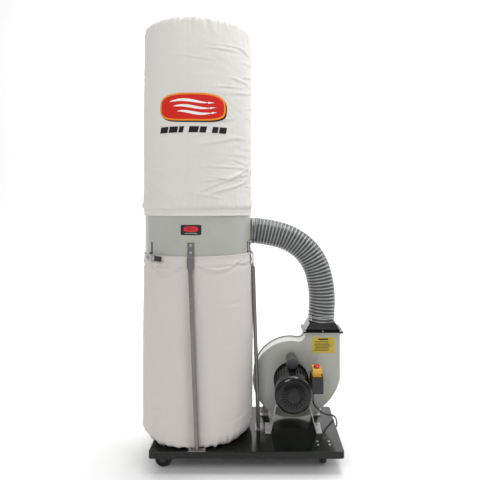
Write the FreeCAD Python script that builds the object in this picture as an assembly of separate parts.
import FreeCAD, Part
import math
import os

os.makedirs("parts", exist_ok=True)

# Single-bag mobile dust collector. Millimetres, +Z up, X to the right along the deck, -Y to the front.
# Modelling origin: middle of the deck, floor level. Everything is moved to the box centre on export.

# ---- driving sizes -------------------------------------------------------------------------------
deck_length = 850.0
deck_width = 470.0
deck_top = 100.0
deck_rim = 30.0
deck_sheet = 2.0
deck_corner = 12.0

wheel_d = 75.0
wheel_width = 26.0
wheel_bore = 5.0
caster_trail = 30.0
caster_inset_x = 82.0
caster_inset_front = 75.0
caster_inset_back = 54.0
caster_bolt_x = 52.0
caster_bolt_y = 32.0

drum_d = 500.0
drum_sheet = 1.2
drum_bottom = 898.0
drum_height = 271.0
drum_from_left = 187.0
bag_lap = 50.0

cloth = 2.0
filter_bag_top = 2056.0
filter_bag_shoulder = 1989.0
collection_bag_bulge = 9.0
collection_corner = 72.0
bag_hang_gap = 4.0

band_width = 24.0
band_sheet = 1.2

strut_tube_d = 19.0
strut_wall = 1.5
strut_flat_width = 30.0
strut_flat = 3.0
strut_foot = 75.0

port_d = 124.0
port_sheet = 2.0
hose_wall = 3.0
hose_y = 99.0
hose_centre_z = 1041.0

blower_x = 210.0
blower_z = 313.0
scroll_depth = 106.0
scroll_r = 183.0
scroll_growth = 52.0
scroll_sheet = 2.0
outlet_top = 545.0
outlet_width = 162.0
inlet_port_d = 100.0

motor_r = 78.0
motor_length = 146.0
fan_cover_length = 78.0
shaft_r = 12.0
impeller_r = 150.0

box_x = 56.0
box_y = 97.0
box_z = 73.0
cord_d = 8.0

# named clearances
running = 0.05
free_gap = 0.5
hole_gap = 0.25

# ---- helpers -------------------------------------------------------------------------------------
V = FreeCAD.Vector
AX = V(1, 0, 0)
AY = V(0, 1, 0)
AZ = V(0, 0, 1)
nodes = {}


def box(x0, x1, y0, y1, z0, z1):
    return Part.makeBox(x1 - x0, y1 - y0, z1 - z0, V(x0, y0, z0))


def rod(start, end, radius):
    run = end - start
    return Part.makeCylinder(radius, run.Length, start, run)


def tube(start, end, outer, inner):
    return rod(start, end, outer).cut(rod(start, end, inner))


def joined(shapes):
    shape = shapes[0]
    if len(shapes) > 1:
        shape = shapes[0].multiFuse(shapes[1:])
    return shape.removeSplitter()


def group(shapes):
    return Part.makeCompound(shapes)


def placed(shape, start, axis):
    """A shape built on +Z from the origin, moved so that it stands on start along axis."""
    moved = shape.copy()
    moved.Placement = FreeCAD.Placement(start, FreeCAD.Rotation(AZ, axis))
    return moved


def prism(points, run):
    """Closed outline through the points, pushed along run."""
    loop = Part.makePolygon(points + [points[0]])
    return Part.Face(loop).extrude(run)


def hexagon(across, height):
    reach = across / math.sqrt(3.0)
    corners = []
    for step in range(6):
        angle = math.radians(60.0 * step)
        corners.append(V(reach * math.cos(angle), reach * math.sin(angle), 0))
    return prism(corners, V(0, 0, height))


def bolt(face, axis, size, grip):
    """Domed bolt on face, shank going in against axis, and its nut behind the grip."""
    head_h = 0.55 * size
    nut_h = 0.8 * size
    head = placed(Part.makeCylinder(0.95 * size, head_h), face, axis)
    head = head.makeFillet(0.4 * head_h, [head.Edges[0]])
    shank = rod(face, face - axis * (grip + nut_h + 1.5), size / 2)
    nut_start = face - axis * (grip + nut_h)
    nut = placed(hexagon(1.6 * size, nut_h), nut_start, axis)
    nut = nut.cut(rod(nut_start - axis, nut_start + axis * (nut_h + 1), size / 2 + running))
    return [joined([head, shank]), nut]


def bolt_hole(face, axis, size, grip):
    return rod(face + axis, face - axis * (grip + 1), size / 2 + hole_gap)


def turned(shape, phi):
    """A shape built with the drum's axis as origin and +X outward, swung to the angle phi."""
    moved = shape.copy()
    moved.rotate(V(0, 0, 0), AZ, phi)
    moved.translate(V(drum_x, 0, 0))
    return moved


def on_drum(phi, out, side, z):
    """World point from outward, sideways and up distances in the turned frame."""
    angle = math.radians(phi)
    x = drum_x + out * math.cos(angle) - side * math.sin(angle)
    y = out * math.sin(angle) + side * math.cos(angle)
    return V(x, y, z)


def strip(points, thickness):
    """Outline of a bent sheet: the points are one face, thickness is laid to their left."""
    normals = []
    for a, b in zip(points[:-1], points[1:]):
        run = (b - a).normalize()
        normals.append(V(-run.z, 0, run.x))
    far = [points[0] + normals[0] * thickness]
    for i in range(1, len(points) - 1):
        mid = (normals[i - 1] + normals[i]).normalize()
        far.append(points[i] + mid * (thickness / mid.dot(normals[i])))
    far.append(points[-1] + normals[-1] * thickness)
    return points + far[::-1]


def lathe(points, centre):
    """Solid of revolution about the vertical through centre, from (radius, z) pairs."""
    corners = [V(centre.x + r, centre.y, z) for r, z in points]
    face = Part.Face(Part.makePolygon(corners + [corners[0]]))
    return face.revolve(centre, AZ, 360)


def lathe_y(points, centre):
    """Solid of revolution about the motor axis, from (radius, y) pairs."""
    corners = [V(centre.x + r, y, centre.z) for r, y in points]
    face = Part.Face(Part.makePolygon(corners + [corners[0]]))
    return face.revolve(centre, AY, 360)


# ---- dependent places ----------------------------------------------------------------------------
drum_r = drum_d / 2
drum_x = -deck_length / 2 + drum_from_left
drum_top = drum_bottom + drum_height
drum_axis = V(drum_x, 0, 0)
hem_low = drum_bottom + bag_lap
hem_high = drum_top - bag_lap
under_deck = deck_top - deck_sheet
scroll_front = hose_y - scroll_depth / 2
scroll_back = scroll_front + scroll_depth
outlet_right = blower_x + scroll_r + scroll_growth
outlet_left = outlet_right - outlet_width
outlet_x = (outlet_left + outlet_right) / 2
port_r = port_d / 2
hose_in = port_r
hose_out = hose_in + hose_wall
adapter_flange_t = 6.0
adapter_rise = 38.0
adapter_top = outlet_top + adapter_flange_t + adapter_rise
blower_axis = V(blower_x, 0, blower_z)
stand_top = blower_z - motor_r - 2.0
deck_holes = []


# ---- deck and casters ----------------------------------------------------------------------------
def standing(shape):
    """The upright edges of a plain box."""
    return [e for e in shape.Edges if e.BoundBox.ZLength > e.BoundBox.XLength + e.BoundBox.YLength]


def deck_blank():
    half_x = deck_length / 2
    half_y = deck_width / 2
    shell = box(-half_x, half_x, -half_y, half_y, deck_top - deck_rim, deck_top)
    shell = shell.makeFillet(deck_corner, standing(shell))
    top_edges = [e for e in shell.Edges if e.BoundBox.ZMin > deck_top - 0.1]
    shell = shell.makeFillet(deck_sheet, top_edges)
    inner_x = half_x - deck_sheet
    inner_y = half_y - deck_sheet
    hollow = box(-inner_x, inner_x, -inner_y, inner_y, deck_top - deck_rim - 1, under_deck)
    hollow = hollow.makeFillet(deck_corner - deck_sheet, standing(hollow))
    return shell.cut(hollow)


plate_t = 3.0
race_gap = 8.0
king_pin_r = 9.0
fork_sheet = 2.5
fork_gap = 0.6
fork_top = under_deck - plate_t - race_gap
fork_inner = wheel_width / 2 + 4.0
axle_z = wheel_d / 2
caster_spots = {
    "front_left": (-1, -1, 180.0),
    "front_right": (1, -1, 90.0),
    "back_left": (-1, 1, 90.0),
    "back_right": (1, 1, 0.0),
}


def caster_centre(side_x, side_y):
    inset_y = caster_inset_front if side_y < 0 else caster_inset_back
    return V(side_x * (deck_length / 2 - caster_inset_x), side_y * (deck_width / 2 - inset_y), 0)


def caster_plate(centre):
    half_x = caster_bolt_x / 2 + 10
    half_y = caster_bolt_y / 2 + 10
    low = under_deck - plate_t
    plate = box(-half_x, half_x, -half_y, half_y, low, under_deck)
    race = rod(V(0, 0, low - race_gap + free_gap), V(0, 0, low), 20)
    pin = rod(V(0, 0, fork_top - plate_t - 3.5), V(0, 0, low), king_pin_r)
    washer = rod(V(0, 0, fork_top - plate_t - 3.5), V(0, 0, fork_top - plate_t - free_gap), king_pin_r + 4)
    shape = joined([plate, race, pin, washer])
    shape.translate(centre)
    return shape


def caster_fork(centre, heading):
    """Built with the trail on +X, then swung to its heading."""
    low = fork_top - plate_t
    crown = box(-21, 23, -fork_inner - fork_sheet, fork_inner + fork_sheet, low, fork_top)
    crown = crown.cut(rod(V(0, 0, low - 1), V(0, 0, fork_top + 1), king_pin_r + running))
    parts = [crown]
    for side in (-1, 1):
        y = side * fork_inner if side > 0 else -fork_inner - fork_sheet
        outline = [
            V(-21, y, fork_top),
            V(23, y, fork_top),
            V(caster_trail + 11, y, axle_z),
            V(caster_trail - 11, y, axle_z),
        ]
        parts.append(prism(outline, V(0, fork_sheet, 0)))
        parts.append(rod(V(caster_trail, y, axle_z), V(caster_trail, y + fork_sheet, axle_z), 11))
    reach = fork_inner + fork_sheet + 3.5
    parts.append(rod(V(caster_trail, -reach, axle_z), V(caster_trail, reach, axle_z), wheel_bore))
    for side in (-1, 1):
        start = V(caster_trail, side * (reach - 3.5), axle_z)
        parts.append(rod(start, start + AY * (side * 3.5), 8))
    fork = joined(parts)
    fork.rotate(V(0, 0, 0), AZ, heading)
    fork.translate(centre)
    return fork


def caster_wheel(centre, heading):
    half = wheel_width / 2
    r = wheel_d / 2
    hub = fork_inner - fork_gap
    profile = [
        (wheel_bore + running, -hub),
        (13, -hub),
        (14, -half + 3),
        (r - 12, -half + 3),
        (r - 10, -half),
        (r - 4, -half),
        (r, -half + 5),
        (r, half - 5),
        (r - 4, half),
        (r - 10, half),
        (r - 12, half - 3),
        (14, half - 3),
        (13, hub),
        (wheel_bore + running, hub),
    ]
    wheel = lathe_y(profile, V(0, 0, 0))
    wheel.translate(V(caster_trail, 0, axle_z))
    wheel.rotate(V(0, 0, 0), AZ, heading)
    wheel.translate(centre)
    return wheel


plates = []
caster_fixings = []
for name, (side_x, side_y, heading) in caster_spots.items():
    centre = caster_centre(side_x, side_y)
    plate = caster_plate(centre)
    for dx in (-caster_bolt_x / 2, caster_bolt_x / 2):
        for dy in (-caster_bolt_y / 2, caster_bolt_y / 2):
            face = V(centre.x + dx, centre.y + dy, deck_top)
            deck_holes.append(bolt_hole(face, AZ, 6.0, deck_sheet + plate_t))
            plate = plate.cut(deck_holes[-1])
            caster_fixings += bolt(face, AZ, 6.0, deck_sheet + plate_t)
    plates.append(plate)
    nodes["caster_fork_" + name] = caster_fork(centre, heading)
    nodes["caster_wheel_" + name] = caster_wheel(centre, heading)
nodes["caster_plates"] = group(plates)
nodes["caster_bolts"] = group(caster_fixings)


# ---- drum ----------------------------------------------------------------------------------------
def drum_shell():
    lip = 8.0
    r = drum_r
    t = drum_sheet
    profile = [
        (r - lip, drum_bottom),
        (r, drum_bottom),
        (r, drum_top),
        (r - lip, drum_top),
        (r - lip, drum_top - t),
        (r - t, drum_top - t),
        (r - t, drum_bottom + t),
        (r - lip, drum_bottom + t),
    ]
    return lathe(profile, drum_axis)


collar_reach = 44.0
collar_start = V(drum_x, hose_y, hose_centre_z)
wall_x = drum_x + math.sqrt(drum_r ** 2 - hose_y ** 2)
collar_end = V(wall_x + collar_reach, hose_y, hose_centre_z)
collar = tube(collar_start, collar_end, port_r, port_r - port_sheet)
collar = collar.cut(rod(V(drum_x, 0, drum_bottom), V(drum_x, 0, drum_top), drum_r - 6))
collar_hole = rod(V(drum_x + 80, hose_y, hose_centre_z), collar_end, port_r)
nodes["drum_inlet_collar"] = collar
drum = drum_shell().cut(collar_hole)

badge_z = drum_bottom + 163.0
badge = turned(box(drum_r - 10, drum_r + 3, -44.5, 44.5, badge_z - 22, badge_z + 22), -90.0)
round_edges = [e for e in badge.Edges if abs(e.Vertexes[0].X - e.Vertexes[1].X) < 0.01
               and abs(e.Vertexes[0].Z - e.Vertexes[1].Z) < 0.01]
badge = badge.makeFillet(6.0, round_edges)
badge_skin = tube(V(drum_x, 0, drum_bottom), V(drum_x, 0, drum_top), drum_r + 0.8, drum_r)
nodes["drum_badge"] = badge.common(badge_skin)


def bag_hook(phi):
    low = hem_low + 3
    stem = box(drum_r - 0.6, drum_r + 1.6, -4.5, 4.5, low, low + 52)
    toe = box(drum_r + 1.6, drum_r + 9, -4.5, 4.5, low, low + 2)
    tip = box(drum_r + 7, drum_r + 9, -4.5, 4.5, low, low + 9)
    hook = turned(joined([stem, toe, tip]), phi)
    return hook.cut(rod(V(drum_x, 0, 0), V(drum_x, 0, drum_top), drum_r))


nodes["bag_hooks"] = group([bag_hook(phi) for phi in (-138.0, -18.0, 102.0)])


# ---- struts --------------------------------------------------------------------------------------
strut_top = drum_bottom + 108.0
strut_out = drum_r + cloth + band_sheet + 11.0
strut_spots = {
    "front": (-90.0, V(drum_x + 22, -deck_width / 2 + 16, deck_top), True),
    "right": (-8.0, V(drum_x + drum_r + 38, -4, deck_top), False),
    "back": (90.0, V(drum_x + 22, deck_width / 2 - 16, deck_top), True),
}
strut_fixings = []
drum_holes = []
strut_lines = {}


def strut_flat_part(phi):
    """Flattened top: bolted face on the drum, then a joggle out over the bag's hem and band."""
    line = [
        V(drum_r, 0, strut_top),
        V(drum_r, 0, hem_low + 6),
        V(strut_out, 0, hem_low - 8),
        V(strut_out, 0, drum_bottom + 2),
    ]
    flat = prism(strip(line, strut_flat), V(0, strut_flat_width, 0))
    flat.translate(V(0, -strut_flat_width / 2, 0))
    return turned(flat, phi)


def strut(name):
    phi, foot, along_x = strut_spots[name]
    neck = on_drum(phi, strut_out + strut_flat / 2, 0, drum_bottom - 20)
    base = foot + AZ * strut_flat
    long_half = strut_foot / 2
    half = strut_flat_width / 2
    reach_x = long_half if along_x else half
    reach_y = half if along_x else long_half
    plate = box(foot.x - reach_x, foot.x + reach_x, foot.y - reach_y, foot.y + reach_y, foot.z, base.z)
    pipe = rod(foot + AZ * 1.0, neck, strut_tube_d / 2)
    wide = []
    narrow = []
    core = strut_tube_d / 2 * 0.63
    mid_out = strut_out + strut_flat / 2
    for out, side in ((-1, -1), (1, -1), (1, 1), (-1, 1)):
        wide.append(on_drum(phi, mid_out + out * strut_flat / 2, side * half, drum_bottom + 4))
        narrow.append(on_drum(phi, mid_out + out * core, side * core, neck.z - 6))
    taper = Part.makeLoft([Part.makePolygon(loop + [loop[0]]) for loop in (narrow, wide)], True, True)
    shape = joined([strut_flat_part(phi), taper, pipe, plate])
    bore = rod(foot - AZ * 5, foot + (neck - foot) * 0.98, strut_tube_d / 2 - strut_wall)
    shape = shape.cut(bore)
    for z in (strut_top - 11, strut_top - 42):
        face = on_drum(phi, drum_r + strut_flat, 0, z)
        out = (on_drum(phi, 1, 0, z) - on_drum(phi, 0, 0, z)).normalize()
        hole = bolt_hole(face, out, 6.0, strut_flat + drum_sheet + 1)
        shape = shape.cut(hole)
        drum_holes.append(hole)
        strut_fixings.extend(bolt(face, out, 6.0, strut_flat + drum_sheet + 0.1))
    for step in (-30.0, 30.0):
        spot = V(foot.x + step, foot.y, base.z) if along_x else V(foot.x, foot.y + step, base.z)
        hole = bolt_hole(spot, AZ, 6.0, strut_flat + deck_sheet)
        shape = shape.cut(hole)
        deck_holes.append(hole)
        strut_fixings.extend(bolt(spot, AZ, 6.0, strut_flat + deck_sheet))
    strut_lines[name] = (foot, neck)
    return shape


for name in strut_spots:
    nodes["strut_" + name] = strut(name)
nodes["strut_bolts"] = group(strut_fixings)
for hole in drum_holes:
    drum = drum.cut(hole)
nodes["drum_shell"] = drum


# ---- bags ----------------------------------------------------------------------------------------
def filter_bag_solid(inset):
    r = drum_r + cloth - inset
    crown = filter_bag_top - inset
    shoulder = filter_bag_shoulder - inset
    profile = [(0, hem_high + 34), (r, hem_high + 34), (r + 3, hem_high + 60), (r + 3, shoulder - 26),
               (r - 3, shoulder)]
    steps = 8
    for i in range(1, steps + 1):
        angle = math.radians(90.0 * i / steps)
        profile.append(((r - 3) * math.cos(angle), shoulder + (crown - shoulder) * math.sin(angle)))
    body = lathe(profile, drum_axis)
    low = hem_high if inset == 0 else hem_high - 1
    return joined([body, rod(V(drum_x, 0, low), V(drum_x, 0, hem_high + 36), r)])


nodes["filter_bag"] = filter_bag_solid(0).cut(filter_bag_solid(cloth))


def collection_bag_solid(inset):
    """Round bag with a soft bottom edge, pressed in where the struts pass it."""
    r = drum_r + cloth - inset
    wide = r + collection_bag_bulge
    floor = deck_top + bag_hang_gap + inset
    bend = collection_corner - inset
    profile = [(0, floor)]
    steps = 6
    for i in range(steps + 1):
        angle = math.radians(90.0 * i / steps)
        profile.append((wide - bend + bend * math.sin(angle), floor + bend * (1 - math.cos(angle))))
    profile += [(wide, drum_bottom - 90), (r, drum_bottom - 4), (0, drum_bottom - 4)]
    body = lathe(profile, drum_axis)
    for name, (phi, spot, along_x) in strut_spots.items():
        foot, neck = strut_lines[name]
        out = on_drum(phi, 1, 0, 0) - on_drum(phi, 0, 0, 0)
        clear = strut_tube_d / 2 + 3 + inset
        run = (neck - foot).normalize()
        start = foot - run * 20
        end = neck + run * 60
        side = AZ.cross(out) * clear
        away = out * 90
        corners = [start - side, start + side, end + side, end - side, start - side]
        slot = Part.Face(Part.makePolygon(corners))
        body = body.cut(rod(start, end, clear)).cut(slot.extrude(away))
    high = hem_low if inset == 0 else hem_low + 1
    return joined([body, rod(V(drum_x, 0, drum_bottom - 6), V(drum_x, 0, high), r)])


nodes["collection_bag"] = collection_bag_solid(0).cut(collection_bag_solid(cloth))


# ---- band clamps ---------------------------------------------------------------------------------
pivot_out = drum_r + 14.0
bail_pin_out = drum_r + 10.0
bail_pin_side = 9.0
catch_side = -49.0
ear_z = band_width / 2 - 2.0
arm_z = ear_z - 2.8
wire_r = 1.5
wire_z = 5.2
filter_band_z = hem_high + 16.0
collection_band_z = hem_low - 14.0
filter_latch_phi = 60.0
collection_latch_phi = -134.0


def band(z, phi):
    """Strap with the latch's ears and rivets on one end and its catch post on the other."""
    inner = drum_r + cloth
    outer = inner + band_sheet
    half = band_width / 2
    strap = tube(V(0, 0, z - half), V(0, 0, z + half), outer, inner)
    strap = strap.cut(box(0, outer + 5, catch_side + 12, -16, z - half - 1, z + half + 1))
    parts = [strap, box(outer - 1, outer + 2, -12, 12, z - half, z + half)]
    for side in (-1, 1):
        low = z + ear_z if side > 0 else z - ear_z - 2
        parts.append(box(outer, pivot_out + 6, -8, 8, low, low + 2))
        inner_z = z + side * (wire_z + wire_r + 0.4)
        parts.append(rod(V(pivot_out, 0, inner_z), V(pivot_out, 0, z + side * (half + 1)), 2.5))
    post = box(outer - 6.5, outer + 5.5, catch_side - 2, catch_side + 2, z - wire_z + 2.1, z + wire_z - 2.1)
    foot = box(outer - 6.5, outer - 2.5, catch_side - 3, catch_side + 8, z - half + 3, z + half - 3)
    parts += [post, foot]
    shape = joined(parts)
    shape = shape.cut(rod(V(0, 0, z - half - 1), V(0, 0, z + half + 1), inner))
    return turned(shape, phi)


def lever(z, phi):
    """Two side arms, the bail's pin between them, and the flat handle."""
    parts = []
    for side in (-1, 1):
        low = z + arm_z - 0.1 if side > 0 else z - arm_z - 2.3
        parts.append(rod(V(pivot_out, 0, low), V(pivot_out, 0, low + 2.4), 5.5))
        outline = [
            V(pivot_out - 5, 1, low),
            V(bail_pin_out - 3.4, bail_pin_side - 2, low),
            V(bail_pin_out - 3.4, bail_pin_side + 3, low),
            V(pivot_out - 2, 24, low),
            V(pivot_out + 2, 24, low),
            V(pivot_out + 5.4, 1, low),
        ]
        parts.append(prism(outline, V(0, 0, 2.4)))
    top = arm_z + 2.3
    parts.append(rod(V(bail_pin_out, bail_pin_side, z - top), V(bail_pin_out, bail_pin_side, z + top), 2))
    parts.append(box(pivot_out - 2, pivot_out, 17, 66, z - top, z + top))
    shape = joined(parts)
    for side in (-1, 1):
        start = V(pivot_out, 0, z + side * (arm_z - 1))
        shape = shape.cut(rod(start, start + AZ * (side * 5), 2.5 + running))
    return turned(shape, phi)


def lever_grip(z, phi):
    top = arm_z + 2.3
    block = box(pivot_out - 5, pivot_out + 3, 27, 68, z - top - 1.5, z + top + 1.5)
    long_edges = [e for e in block.Edges if abs(e.Vertexes[0].Y - e.Vertexes[1].Y) > 1]
    block = block.makeFillet(1.8, long_edges)
    return turned(block.cut(box(pivot_out - 2, pivot_out, 17, 66, z - top, z + top)), phi)


def bail(z, phi):
    """Wire loop: an eye on the lever's pin, two side wires and a cross wire behind the catch post."""
    pin = V(bail_pin_out, bail_pin_side, 0)
    far = V(drum_r + 5.0, catch_side - 2 - wire_r - 1.5, 0)
    reach = wire_z + wire_r + 0.2
    eye = tube(pin + AZ * (z - reach), pin + AZ * (z + reach), 3.6, 2 + running)
    parts = [rod(far + AZ * (z - reach), far + AZ * (z + reach), wire_r)]
    start = pin + (far - pin).normalize() * 2.9
    for side in (-1, 1):
        lift = AZ * (z + side * wire_z)
        parts.append(rod(start + lift, far + lift, wire_r))
    return turned(joined([eye] + parts), phi)


for which, z, phi in (("filter", filter_band_z, filter_latch_phi),
                      ("collection", collection_band_z, collection_latch_phi)):
    nodes[which + "_band"] = band(z, phi)
    nodes[which + "_latch_lever"] = lever(z, phi)
    nodes[which + "_latch_grip"] = lever_grip(z, phi)
    nodes[which + "_latch_bail"] = bail(z, phi)


# ---- blower housing ------------------------------------------------------------------------------
def scroll_point(angle, radius):
    a = math.radians(angle)
    return V(blower_x + radius * math.cos(a), 0, blower_z + radius * math.sin(a))


def scroll_outline(y, grow):
    """Spiral outline with its tall neck; grow moves every side outward."""
    fillet = 35.0
    left = outlet_left - grow
    right = outlet_right + grow
    r = scroll_r + grow
    soft = fillet - grow
    bend_x = left - soft
    bend_z = blower_z + math.sqrt((r + soft) ** 2 - (bend_x - blower_x) ** 2)
    start_angle = math.degrees(math.atan2(bend_z - blower_z, bend_x - blower_x))
    join = scroll_point(start_angle, r)
    low = scroll_point(270.0, r)
    mid = scroll_point(320.0, r + scroll_growth * 0.36)
    side = V(right, 0, blower_z)
    corner = V(bend_x, 0, bend_z)
    bend_mid = corner + (V(left, 0, bend_z) + join - corner * 2).normalize() * soft
    top = outlet_top
    edges = [
        Part.Arc(join, scroll_point((start_angle + 270.0) / 2, r), low).toShape(),
        Part.Arc(low, mid, side).toShape(),
        Part.LineSegment(side, V(right, 0, top)).toShape(),
        Part.LineSegment(V(right, 0, top), V(left, 0, top)).toShape(),
        Part.LineSegment(V(left, 0, top), V(left, 0, bend_z)).toShape(),
        Part.Arc(V(left, 0, bend_z), bend_mid, join).toShape(),
    ]
    wire = Part.Wire(edges)
    wire.translate(AY * y)
    return Part.Face(wire)


scroll_lip = 5.0
flange_sheet = 3.0
wall_front = scroll_front + scroll_sheet
wall_back = scroll_back - scroll_sheet
scroll_run = wall_back - wall_front
neck_top = outlet_top - flange_sheet
above = box(outlet_left - 60, outlet_right + 60, scroll_front - 60, scroll_back + 60,
            neck_top, outlet_top + 60)
flange_x = outlet_width / 2 + 18.0
flange_y = scroll_depth / 2 + 23.5
neck_y = (scroll_front + scroll_back) / 2
wall_outer = scroll_outline(wall_front, 0).extrude(AY * scroll_run)
wall_inner = scroll_outline(wall_front - 1, -scroll_sheet).extrude(AY * (scroll_run + 2))
wall = wall_outer.cut(wall_inner).cut(above)
flange = box(outlet_x - flange_x, outlet_x + flange_x, neck_y - flange_y, neck_y + flange_y,
             neck_top, outlet_top)
neck_hole = box(outlet_left + scroll_sheet, outlet_right - scroll_sheet, wall_front, wall_back,
                neck_top - 1, outlet_top + 1)
scroll_wall = joined([wall, flange]).cut(neck_hole)
front_plate = scroll_outline(scroll_front, scroll_lip).extrude(AY * scroll_sheet).cut(above)
front_plate = front_plate.cut(rod(blower_axis, blower_axis + AY * 100, 32))
back_plate = scroll_outline(wall_back, scroll_lip).extrude(AY * scroll_sheet).cut(above)
inlet_r = 75.0
back_plate = back_plate.cut(rod(blower_axis, blower_axis + AY * 300, inlet_r))
label_top = outlet_top - 27
label_mid = outlet_right - 77.0
nodes["blower_label"] = box(label_mid - 55.5, label_mid + 55.5, scroll_front - 0.4, scroll_front,
                            label_top - 76, label_top)


# ---- outlet adapter, hose and its clamps ---------------------------------------------------------
def hood_solid(inset):
    """Sloping skirt from the outlet flange up to a square top that carries the round collar."""
    loops = []
    low = (outlet_width / 2 + 6 - inset, outer_half_y - inset, flange_top - 0.5)
    high = (port_r + 2.5 - inset, port_r + 2.5 - inset, adapter_top)
    for half_x, half_y, z in (low, high):
        corners = []
        for sx, sy in ((-1, -1), (1, -1), (1, 1), (-1, 1)):
            corners.append(V(outlet_x + sx * half_x, neck_y + sy * half_y, z))
        loops.append(Part.makePolygon(corners + [corners[0]]))
    return Part.makeLoft(loops, True, True)


collar_up = 52.0
skin = 2.5
flange_top = outlet_top + adapter_flange_t
outer_half_y = scroll_depth / 2 + 8
plate_part = box(outlet_x - flange_x, outlet_x + flange_x, neck_y - flange_y, neck_y + flange_y,
                 outlet_top, flange_top)
hood = hood_solid(0).cut(hood_solid(skin))
hood_half = port_r + 2.5
hood_lid = box(outlet_x - hood_half, outlet_x + hood_half, neck_y - hood_half, neck_y + hood_half,
               adapter_top, adapter_top + skin)
neck_mid = V(outlet_x, neck_y, adapter_top)
adapter = joined([plate_part, hood, hood_lid, rod(neck_mid, neck_mid + AZ * collar_up, port_r)])
adapter = adapter.cut(rod(neck_mid - AZ, neck_mid + AZ * (collar_up + 1), port_r - port_sheet))
adapter = adapter.cut(box(outlet_left + 2, outlet_right - 2, neck_y - outer_half_y + 10,
                          neck_y + outer_half_y - 10, outlet_top - 1, flange_top))
adapter_fixings = []
for dx in (-85.0, 0.0, 85.0):
    for dy in (-flange_y + 9, flange_y - 9):
        face = V(outlet_x + dx, neck_y + dy, flange_top)
        hole = bolt_hole(face, AZ, 5.0, adapter_flange_t + flange_sheet)
        adapter = adapter.cut(hole)
        scroll_wall = scroll_wall.cut(hole)
        adapter_fixings += bolt(face, AZ, 5.0, adapter_flange_t + flange_sheet)
nodes["outlet_adapter"] = adapter

hose_shape = ((0.30, 0.028), (0.555, 0.092), (0.775, 0.215), (0.92, 0.385), (0.99, 0.583), (1.012, 0.777))
wall_near_x = drum_x + math.sqrt(drum_r ** 2 - (hose_y - hose_out) ** 2)
hose_start = V(wall_near_x + free_gap, hose_y, hose_centre_z)
hose_end = V(outlet_x, neck_y, adapter_top + skin + 1)


def hose_path():
    points = [hose_start]
    for along, down in hose_shape:
        x = hose_start.x + along * (hose_end.x - hose_start.x)
        z = hose_start.z + down * (hose_end.z - hose_start.z)
        points.append(V(x, hose_y, z))
    points.append(hose_end)
    curve = Part.BSplineCurve()
    curve.interpolate(Points=points, InitialTangent=AX * 380, FinalTangent=AZ * -480)
    return Part.Wire(curve.toShape())


hose_line = hose_path()
hose_disc = Part.Face(Part.Wire(Part.Circle(hose_start, AX, hose_out).toShape()))
hose_core = Part.Face(Part.Wire(Part.Circle(hose_start, AX, hose_in).toShape()))
hose_section = hose_disc.cut(hose_core).Faces[0]
hose = hose_line.makePipe(hose_section).Solids[0]
nodes["duct_hose"] = hose
print("hose length %.0f, volume %.0f, section x length %.0f" % (
    hose_line.Length, hose.Volume, math.pi * (hose_out ** 2 - hose_in ** 2) * hose_line.Length))


clamp_wire_r = 1.3


def wire_clamp(centre, axis, ear):
    """Double wire ring with two ears and a screw across them."""
    parts = []
    for step in (-4.0, 4.0):
        spot = centre + axis * step
        parts.append(Part.makeTorus(hose_out + clamp_wire_r, clamp_wire_r, spot, axis))
    for step in (-4.0, 4.0):
        root = centre + axis * step + ear * (hose_out + clamp_wire_r)
        parts.append(rod(root, root + ear * 16, 2.0))
    cross = centre + ear * (hose_out + 13)
    parts.append(rod(cross - axis * 13, cross + axis * 13, 2.5))
    return group([joined(parts)])


slant = math.sqrt(0.5)
clamp_a = wire_clamp(V(wall_x + 34, hose_y, hose_centre_z), AX, V(0, -slant, -slant))
clamp_b = wire_clamp(V(outlet_x, neck_y, adapter_top + 26), AZ, V(-slant, -slant, 0))
nodes["hose_clamps"] = group(clamp_a.Solids + clamp_b.Solids)


# ---- motor ---------------------------------------------------------------------------------------
frame_back = scroll_front - motor_length
fin_r = motor_r + 6.0
bearing_r = 24.0
foot_front = frame_back + 38
foot_back = scroll_front - 14
box_front = frame_back - 3
box_back = box_front + box_y


def at_motor(radius, angle, y):
    a = math.radians(angle)
    return V(blower_x + radius * math.cos(a), y, blower_z + radius * math.sin(a))


def motor_frame():
    inner = motor_r - 4
    profile = [
        (bearing_r, scroll_front - 12),
        (bearing_r, scroll_front),
        (motor_r + 8, scroll_front),
        (motor_r + 8, scroll_front - 8),
        (motor_r, scroll_front - 8),
        (motor_r, frame_back),
        (inner, frame_back),
        (inner, scroll_front - 12),
    ]
    parts = [lathe_y(profile, blower_axis)]
    foot_half = 70.0
    parts.append(box(blower_x - foot_half, blower_x + foot_half, foot_front, foot_back, stand_top, stand_top + 7))
    for side in (-1, 1):
        x = blower_x + side * 46
        parts.append(box(x - 5, x + 5, foot_front, foot_back, stand_top, blower_z - 50))
    count = 30
    for i in range(count):
        angle = 360.0 * i / count
        if 235 < angle < 305 or 74 < angle < 106:
            continue
        fin = box(inner + 2, fin_r, frame_back + 8, scroll_front - 14, -1.2, 1.2)
        fin.rotate(V(0, 0, 0), AY, -angle)
        fin.translate(blower_axis)
        parts.append(fin)
    parts.append(box(blower_x + 55, box_left, box_front + 11, box_back - 12, blower_z - 12, blower_z + 30))
    parts.append(box(blower_x - 16, blower_x + 16, cap_front, cap_back - 2, blower_z + 60, cap_seat))
    shape = joined(parts)
    return shape.cut(rod(blower_axis + AY * frame_back, blower_axis + AY * (scroll_front - 12), inner))


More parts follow.
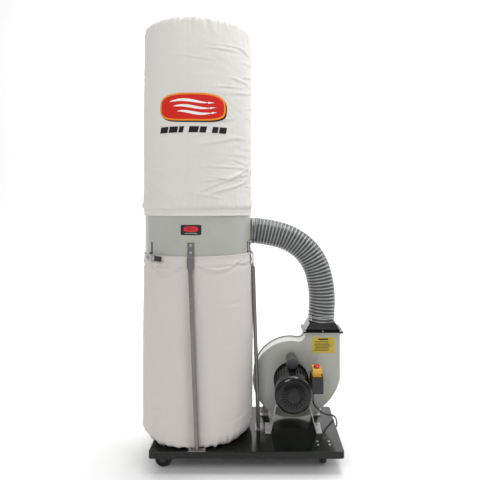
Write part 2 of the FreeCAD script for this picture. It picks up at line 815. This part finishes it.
box_left = blower_x + fin_r + 1.5
cap_r = 27.0
cap_seat = blower_z + motor_r + 9.0
cap_z = cap_seat + cap_r - 5
cap_front = frame_back + 40
cap_back = scroll_front - 14
frame = motor_frame()
frame = frame.cut(rod(V(blower_x, cap_front - 1, cap_z), V(blower_x, cap_back + 1, cap_z), cap_r + running))
bell_t = 6.0
bell_profile = [
    (bearing_r, frame_back - bell_t),
    (bearing_r, frame_back + 6),
    (bearing_r + 8, frame_back + 6),
    (bearing_r + 8, frame_back),
    (fin_r - 0.5, frame_back),
    (fin_r - 0.5, frame_back - bell_t),
]
nodes["motor_end_bell"] = lathe_y(bell_profile, blower_axis)

bearings = []
for y0, y1 in ((frame_back - bell_t, frame_back + 6), (scroll_front - 12, scroll_front)):
    bearings.append(tube(blower_axis + AY * y0, blower_axis + AY * y1, bearing_r, shaft_r + running))
nodes["motor_bearings"] = group(bearings)

fan_space = 44.0
shaft_end = scroll_front + 74.0
shaft_start = frame_back - fan_space
shaft = rod(blower_axis + AY * shaft_start, blower_axis + AY * shaft_end, shaft_r)
core_y0 = frame_back + 22
core_y1 = scroll_front - 34
rotor_r = 44.0
rotor_core = tube(blower_axis + AY * core_y0, blower_axis + AY * core_y1, rotor_r, shaft_r)
nodes["motor_shaft"] = group([shaft, rotor_core])
nodes["motor_stator"] = tube(blower_axis + AY * core_y0, blower_axis + AY * core_y1, motor_r - 4,
                             rotor_r + free_gap)


def fan_blades(count, r0, r1, y0, y1, thickness):
    blades = []
    for i in range(count):
        blade = box(r0, r1, y0, y1, -thickness / 2, thickness / 2)
        blade.rotate(V(0, 0, 0), AY, 360.0 * i / count)
        blade.translate(blower_axis)
        blades.append(blade)
    return blades


fan_y0 = shaft_start + 4
fan_hub = tube(blower_axis + AY * fan_y0, blower_axis + AY * (fan_y0 + 24), 24, shaft_r)
fan_disc = tube(blower_axis + AY * (fan_y0 + 21), blower_axis + AY * (fan_y0 + 24), 66, shaft_r)
nodes["cooling_fan"] = joined([fan_hub, fan_disc] + fan_blades(8, 20, 66, fan_y0 + 3, fan_y0 + 22, 2.5))

wheel_front = wall_front + 8
hub = tube(blower_axis + AY * wheel_front, blower_axis + AY * (shaft_end - 4), 26, shaft_r)
back_disc = tube(blower_axis + AY * wheel_front, blower_axis + AY * (wheel_front + 3), impeller_r, shaft_r)
vanes = fan_blades(8, 22, impeller_r, wheel_front + 2, wheel_front + 58, 3.0)
nodes["impeller"] = joined([hub, back_disc] + vanes)


def fan_cover():
    """Deep pressed cap with an air grille of slots in its end."""
    outer = fin_r + 1.0
    start = frame_back
    end = start - fan_cover_length

    def cap(inset):
        r = outer - inset
        far = end + inset
        profile = [(0, start + (1 if inset else 0)), (r, start + (1 if inset else 0)), (r, far + 26)]
        for i in range(1, 7):
            angle = math.radians(15.0 * i)
            profile.append((r - 22 + 22 * math.cos(angle), far + 26 - 18 * math.sin(angle)))
        profile += [(r - 46, far + 2), (0, far)]
        return lathe_y(profile, blower_axis)

    shape = cap(0).cut(cap(1.5))
    for i in range(24):
        slot = box(28, 56, end - 5, end + 14, -1.6, 1.6)
        slot.rotate(V(0, 0, 0), AY, 15.0 * i)
        slot.translate(blower_axis)
        shape = shape.cut(slot)
    return shape


cover = fan_cover()
cover = cover.cut(nodes["motor_end_bell"])
nodes["fan_cover"] = cover.cut(frame)

cap_body = rod(V(blower_x, cap_front, cap_z), V(blower_x, cap_back, cap_z), cap_r)
cap_body = cap_body.makeFillet(5.0, [e for e in cap_body.Edges if abs(e.BoundBox.YMax - cap_front) < 0.1])
saddle = box(blower_x - 22, blower_x + 22, cap_front + 8, cap_back - 6, cap_seat, cap_z - 8)
nodes["capacitor_cover"] = joined([cap_body, saddle])


# ---- blower stand and rear feet ------------------------------------------------------------------
stand_sheet = 4.0
stand_line = [
    V(blower_x - 128, 0, deck_top),
    V(blower_x - 101, 0, deck_top),
    V(blower_x - 77, 0, stand_top - stand_sheet),
    V(blower_x + 77, 0, stand_top - stand_sheet),
    V(blower_x + 112, 0, deck_top),
    V(blower_x + 139, 0, deck_top),
]
stand_front = foot_front - 8
stand_back = foot_back + 4
stand = prism(strip(stand_line, stand_sheet), AY * (stand_back - stand_front))
stand.translate(AY * stand_front)
stand_fixings = []
for x in (blower_x - 117, blower_x + 128):
    for y in (stand_front + 22, stand_back - 14):
        face = V(x, y, deck_top + stand_sheet)
        hole = bolt_hole(face, AZ, 8.0, stand_sheet + deck_sheet)
        stand = stand.cut(hole)
        deck_holes.append(hole)
        stand_fixings += bolt(face, AZ, 8.0, stand_sheet + deck_sheet)
for x in (blower_x - 61, blower_x + 61):
    for y in (foot_front + 16, foot_back - 16):
        face = V(x, y, stand_top + 7)
        hole = bolt_hole(face, AZ, 6.0, 7 + stand_sheet)
        stand = stand.cut(hole)
        frame = frame.cut(hole)
        stand_fixings += bolt(face, AZ, 6.0, 7 + stand_sheet)
nodes["blower_stand"] = stand
nodes["motor_frame"] = frame


def rear_foot(side):
    """Angle bracket: a pad on the deck and a leaning leg bolted to the back plate."""
    pad_in = blower_x + side * 114
    pad_out = pad_in + side * 38
    pad = box(min(pad_in, pad_out), max(pad_in, pad_out), scroll_back - 34, scroll_back + 4,
              deck_top, deck_top + 4)
    leg = prism([
        V(pad_in, scroll_back, deck_top),
        V(pad_out, scroll_back, deck_top),
        V(blower_x + side * 112, scroll_back, blower_z - 92),
        V(blower_x + side * 84, scroll_back, blower_z - 112),
    ], AY * 4)
    return joined([pad, leg])


feet = []
for side in (-1, 1):
    foot = rear_foot(side)
    spot = V(blower_x + side * 133, scroll_back - 16, deck_top + 4)
    hole = bolt_hole(spot, AZ, 8.0, 4 + deck_sheet)
    foot = foot.cut(hole)
    deck_holes.append(hole)
    stand_fixings += bolt(spot, AZ, 8.0, 4 + deck_sheet)
    spot = V(blower_x + side * 101, scroll_back + 4, blower_z - 116)
    hole = bolt_hole(spot, AY, 6.0, 4 + scroll_sheet)
    foot = foot.cut(hole)
    back_plate = back_plate.cut(hole)
    stand_fixings += bolt(spot, AY, 6.0, 4 + scroll_sheet)
    feet.append(foot)
nodes["rear_feet"] = group(feet)
nodes["blower_bolts"] = group(stand_fixings + adapter_fixings)
nodes["scroll_wall"] = scroll_wall
nodes["scroll_front_plate"] = front_plate
nodes["scroll_back_plate"] = back_plate


# ---- inlet splitter and plug ---------------------------------------------------------------------
port_out = inlet_port_d / 2
port_in = port_out - 2.5
port_step = port_out + 6.0
split_y = scroll_back + 44.0
port_y = split_y + 40.0


def obround(radius, y):
    """Long-hole wire across X around the two ports."""
    c = V(blower_x, y, blower_z)
    left = c - AX * port_step
    right = c + AX * port_step
    up = AZ * radius
    edges = [
        Part.LineSegment(left + up, right + up).toShape(),
        Part.Arc(right + up, right + AX * radius, right - up).toShape(),
        Part.LineSegment(right - up, left - up).toShape(),
        Part.Arc(left - up, left - AX * radius, left + up).toShape(),
    ]
    return Part.Wire(edges)


def splitter_body(inset, y0, y1):
    """From the round inlet to the two-port end, through an in-between section."""
    squash = 6.0
    start = Part.Face(Part.Wire(Part.Circle(V(blower_x, y0, blower_z), AY, inlet_r - inset).toShape()))
    entry = start.extrude(AY * squash)
    block = Part.Face(obround(port_out + 6 - inset, y0 + squash)).extrude(AY * (y1 - y0 - squash))
    return joined([entry, block])


splitter = splitter_body(0, scroll_back, split_y)
ring_plate = rod(V(blower_x, scroll_back, blower_z), V(blower_x, scroll_back + 4, blower_z), inlet_r + 12)
ports = []
for side in (-1, 1):
    mid = V(blower_x + side * port_step, 0, blower_z)
    ports.append(rod(mid + AY * (split_y - 1), mid + AY * port_y, port_out))
splitter = joined([splitter, ring_plate] + ports)
splitter = splitter.cut(splitter_body(3.0, scroll_back - 1, split_y - 3))
for side in (-1, 1):
    mid = V(blower_x + side * port_step, 0, blower_z)
    splitter = splitter.cut(rod(mid + AY * (split_y - 5), mid + AY * (port_y + 1), port_in))
nodes["inlet_splitter"] = splitter

plug_mid = V(blower_x - port_step, port_y, blower_z)
plug_r = port_in - 0.4
plug = joined([
    rod(plug_mid + AY * 0.4, plug_mid + AY * 4.4, port_out + 2),
    tube(plug_mid - AY * 24, plug_mid + AY * 1, plug_r, plug_r - 2),
    box(plug_mid.x - 22, plug_mid.x + 22, port_y + 4, port_y + 16, blower_z - 3, blower_z + 3),
])
nodes["inlet_plug"] = plug


# ---- switch --------------------------------------------------------------------------------------
box_right = box_left + box_x
box_bottom = blower_z - 15.0
box_top = box_bottom + box_z
switch_x = (box_left + box_right) / 2
switch_y = (box_front + box_back) / 2
case = box(box_left, box_right, box_front, box_back, box_bottom, box_top)
case = case.makeFillet(3.0, [e for e in case.Edges if e.BoundBox.ZLength > 10])
case = case.cut(box(box_left + 2.5, box_right - 2.5, box_front + 2.5, box_back - 2.5,
                    box_bottom + 2.5, box_top - 2.5))
case = case.cut(box(switch_x - 17, switch_x + 17, switch_y - 29, switch_y + 29, box_top - 5, box_top + 1))
gland_spot = V(box_left + 10.5, box_back - 34, box_bottom)
case = case.cut(rod(gland_spot - AZ * 2, gland_spot + AZ * 4, 6.2))
nodes["switch_box"] = case

body_top = box_top + 15.0
button_r = 8.0
start_y = switch_y + 14
stop_y = switch_y - 13
hinge_y = switch_y + 37.0
hinge_z = body_top - 3.0
body = joined([
    box(switch_x - 20, switch_x + 20, switch_y - 33, switch_y + 33, box_top, box_top + 3),
    box(switch_x - 18, switch_x + 18, switch_y - 30, switch_y + 30, box_top + 3, body_top),
    box(switch_x - 16.5, switch_x + 16.5, switch_y - 28.5, switch_y + 28.5, box_top - 20, box_top),
    box(switch_x - 6, switch_x + 6, switch_y + 28, hinge_y, hinge_z - 2.5, hinge_z + 2.5),
    rod(V(switch_x - 16, hinge_y, hinge_z), V(switch_x + 16, hinge_y, hinge_z), 2.5),
])
button_bottom = body_top - 8.0
button_top = body_top + 7.0
travel = 3.0
for y in (start_y, stop_y):
    well_floor = V(switch_x, y, button_bottom - travel - 0.3)
    body = body.cut(rod(well_floor, V(switch_x, y, body_top + 1), button_r + 0.3))
nodes["switch_body"] = body
nodes["start_button"] = rod(V(switch_x, start_y, button_bottom), V(switch_x, start_y, button_top), button_r)
nodes["stop_button"] = rod(V(switch_x, stop_y, button_bottom), V(switch_x, stop_y, button_top), button_r)

lid_low = body_top + 0.6
lid_high = lid_low + 21.0
lid_front = switch_y - 34.0
lid_back = switch_y + 33.0
lid = box(switch_x - 21, switch_x + 21, lid_front, lid_back, lid_low, lid_high)
lid_edges = [e for e in lid.Edges if e.BoundBox.ZMin > lid_high - 0.1 or e.BoundBox.ZLength > 10]
lid = lid.makeFillet(3.0, lid_edges)
lid = lid.cut(box(switch_x - 19, switch_x + 19, lid_front + 2, lid_back - 2, lid_low - 1, lid_high - 2))
for side in (-1, 1):
    x0 = switch_x + side * 11.5 - 3.5
    knuckle = rod(V(x0, hinge_y, hinge_z), V(x0 + 7, hinge_y, hinge_z), 4.6)
    web = box(x0, x0 + 7, lid_back - 2, hinge_y + 4.6, hinge_z, lid_low + 4)
    lid = joined([lid, knuckle, web])
lid = lid.cut(rod(V(switch_x - 20, hinge_y, hinge_z), V(switch_x + 20, hinge_y, hinge_z), 2.5 + running))
stem_r = 6.0
lid = lid.cut(rod(V(switch_x, stop_y, lid_low), V(switch_x, stop_y, lid_high + 1), stem_r + 0.3))
nodes["switch_cover"] = lid

head_z = lid_high + 4.5
head = rod(V(switch_x, stop_y, head_z), V(switch_x, stop_y, head_z + 9), 15)
head = head.makeFillet(4.0, [e for e in head.Edges if e.BoundBox.ZMin > head_z + 8.9])
stem = rod(V(switch_x, stop_y, button_top + 0.6), V(switch_x, stop_y, head_z + 1), stem_r)
collar_r = rod(V(switch_x, stop_y, lid_high - 6.6), V(switch_x, stop_y, lid_high - 2.4), stem_r + 2)
nodes["stop_mushroom"] = joined([head, stem, collar_r])


# ---- cord: gland, lead, coil and plug ------------------------------------------------------------
gland_bottom = gland_spot - AZ * 18
gland = joined([
    rod(gland_spot - AZ * 12, gland_spot, 9.5),
    rod(gland_spot - AZ * 18, gland_spot - AZ * 12, 7.0),
    rod(gland_spot, gland_spot + AZ * 9, 6.0),
])
nodes["cable_gland"] = gland.cut(rod(gland_bottom - AZ, gland_spot + AZ * 10, cord_d / 2))

cord_r = cord_d / 2
deck_right = deck_length / 2
coil_mid = V(deck_right - 118, deck_width / 2 + 112, 0)
coil_r = 5.5 * cord_d
coil_half = 13.0
coil_height = 17.5
lie = cord_r + 0.5
cord_points = [
    gland_bottom + AZ * 1.0,
    gland_bottom + V(-1, 3, -30),
    gland_bottom + V(12, 22, -70),
    V(deck_right - 73, 26, 164),
    V(deck_right - 37, 64, 130),
    V(deck_right + 4, 100, deck_top + 13),
    V(deck_right + 22, 128, 74),
    V(deck_right + 27, 156, 33),
    V(deck_right + 25, 200, lie + 1),
    V(deck_right + 6, 250, lie),
    V(deck_right - 28, 290, lie),
    V(coil_mid.x + 52, coil_mid.y - 24, lie),
]


def cord_tube(points, radius):
    """Straight runs joined by arcs that touch both neighbours."""
    edges = []
    radii = []
    last = points[0]
    for i in range(1, len(points) - 1):
        before = points[i] - points[i - 1]
        after = points[i + 1] - points[i]
        half_turn = before.getAngle(after) / 2
        short = min(before.Length, after.Length)
        cut_back = 0.45 * short
        bend = cut_back / math.tan(half_turn)
        radii.append(bend)
        a = points[i] - before.normalize() * cut_back
        b = points[i] + after.normalize() * cut_back
        to_centre = ((a + b) * 0.5 - points[i]).normalize()
        centre = points[i] + to_centre * (bend / math.cos(half_turn))
        mid = centre - to_centre * bend
        edges.append(Part.LineSegment(last, a).toShape())
        edges.append(Part.Arc(a, mid, b).toShape())
        last = b
    edges.append(Part.LineSegment(last, points[-1]).toShape())
    path = Part.Wire(edges)
    ring = Part.Wire(Part.Circle(points[0], points[1] - points[0], radius).toShape())
    solid = path.makePipeShell([ring], True, False)
    print("cord runs", [round((b - a).Length) for a, b in zip(points[:-1], points[1:])])
    print("cord bend radii", [round(r) for r in radii])
    print("cord length %.0f, volume %.0f, section x length %.0f" % (
        path.Length, solid.Volume, math.pi * radius ** 2 * path.Length))
    return solid


nodes["power_cord"] = cord_tube(cord_points, cord_r)
coil_low = V(coil_mid.x, coil_mid.y, 0.5)
nodes["cord_coil"] = tube(coil_low, coil_low + AZ * coil_height, coil_r + coil_half, coil_r - coil_half)
plug_start = V(coil_mid.x - coil_r - coil_half + 2, coil_mid.y + 6, 16.5)
plug_parts = [
    rod(plug_start, plug_start - AX * 16, 6.5),
    box(plug_start.x - 56, plug_start.x - 14, plug_start.y - 15, plug_start.y + 15, 0.5, 31.0),
]
for dy, dz in ((-7.0, 0.0), (7.0, 0.0), (0.0, 8.0)):
    pin = plug_start + V(-56, dy, dz)
    plug_parts.append(rod(pin + AX, pin - AX * 18, 2.2))
nodes["power_plug"] = joined(plug_parts)


# ---- deck with every hole, then export -----------------------------------------------------------
deck = deck_blank()
for hole in deck_holes:
    deck = deck.cut(hole)
nodes["deck"] = deck

loose = ("power_cord", "cord_coil", "power_plug")
bounds = FreeCAD.BoundBox()
for name, shape in nodes.items():
    if name not in loose:
        bounds.add(shape.optimalBoundingBox(False))
shift = V(-bounds.Center.x, -bounds.Center.y, -bounds.ZMin)
print("shift %.4f %.4f %.4f" % (shift.x, shift.y, shift.z))
print("size %.1f %.1f %.1f" % (bounds.XLength, bounds.YLength, bounds.ZLength))
for name, shape in nodes.items():
    placed_shape = shape.copy()
    placed_shape.translate(shift)
    placed_shape.exportStep("parts/%s.step" % name)
    solids = placed_shape.Solids
    print("%-28s solids %2d  volume %10.0f  valid %s" % (
        name, len(solids), placed_shape.Volume, placed_shape.isValid()))
print("nodes", len(nodes))
